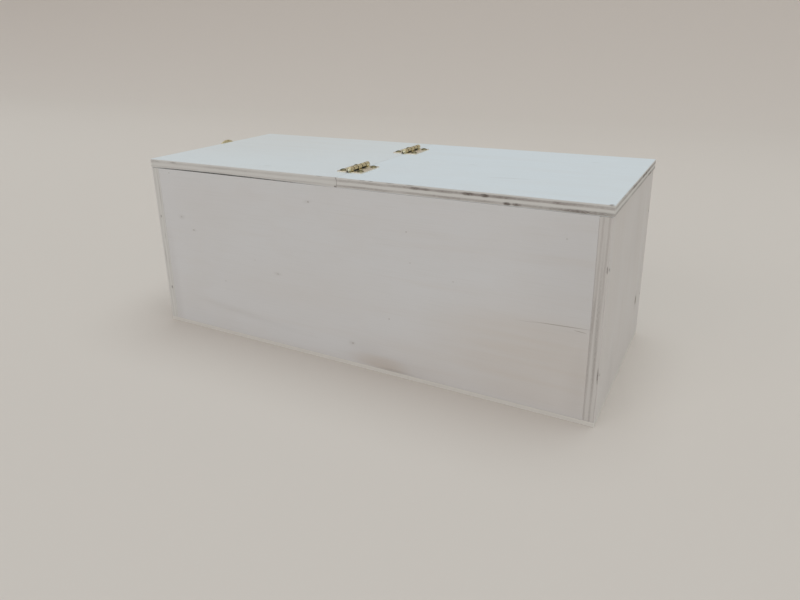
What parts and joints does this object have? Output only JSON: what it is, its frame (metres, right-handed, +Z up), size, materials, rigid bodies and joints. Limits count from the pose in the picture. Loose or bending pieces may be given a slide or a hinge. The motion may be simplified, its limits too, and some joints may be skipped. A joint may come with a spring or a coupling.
{
  "type": "kindling box",
  "caption": "Long five-ply kindling box with a whitewashed finish, a top split across the middle, half of it lifting on brass butt hinges, and a swing-hook catch on one end.",
  "frame": {"origin": "middle of the underside of the bottom panel", "axes": "+X along the length towards the fixed half of the top, -Y out of the front, +Z up"},
  "size_m": [0.4618, 0.19, 0.1828],
  "materials": {
    "painted_ply": "thin matt whitewash over five-ply birch, bare layers showing at the edges",
    "brass": "dull aged brass, brighter on the raised edges",
    "steel_pin": "small bright steel pin heads, slightly dulled by paint"
  },
  "bodies": {
    "case": {"back_panel": "painted_ply", "bottom_panel": "painted_ply", "fixed_leaf_front": "brass", "fixed_leaf_rear": "brass", "fixed_leaf_screw_1": "brass", "fixed_leaf_screw_2": "brass", "fixed_leaf_screw_3": "brass", "fixed_leaf_screw_4": "brass", "fixed_top_panel": "painted_ply", "front_panel": "painted_ply", "hinge_pin_front": "brass", "hinge_pin_rear": "brass", "hook_base_plate": "brass", "hook_base_screw_1": "brass", "hook_base_screw_2": "brass", "hook_rivet": "brass", "left_end_panel": "painted_ply", "left_end_pin_1": "steel_pin", "left_end_pin_2": "steel_pin", "left_end_pin_3": "steel_pin", "left_end_pin_4": "steel_pin", "right_end_panel": "painted_ply", "right_end_pin_1": "steel_pin", "right_end_pin_2": "steel_pin", "right_end_pin_3": "steel_pin", "right_end_pin_4": "steel_pin"},
    "lid": {"keeper_plate": "brass", "keeper_screw_1": "brass", "keeper_screw_2": "brass", "keeper_stud": "brass", "lifting_leaf_front": "brass", "lifting_leaf_rear": "brass", "lifting_leaf_screw_1": "brass", "lifting_leaf_screw_2": "brass", "lifting_leaf_screw_3": "brass", "lifting_leaf_screw_4": "brass", "lifting_top_panel": "painted_ply"},
    "hook": {"swing_hook": "brass"}
  },
  "joints": [
    {"name": "lid_hinge", "type": "hinge", "parent": "case", "child": "lid", "pos_m": [-0.002, 0, 0.1804], "axis": [0, 1, 0], "range_deg": [0, 175]},
    {"name": "hook_swing", "type": "hinge", "parent": "case", "child": "hook", "pos_m": [-0.228, 0.018, 0.1515], "axis": [-1, 0, 0], "range_deg": [-160, 180]}
  ]
}
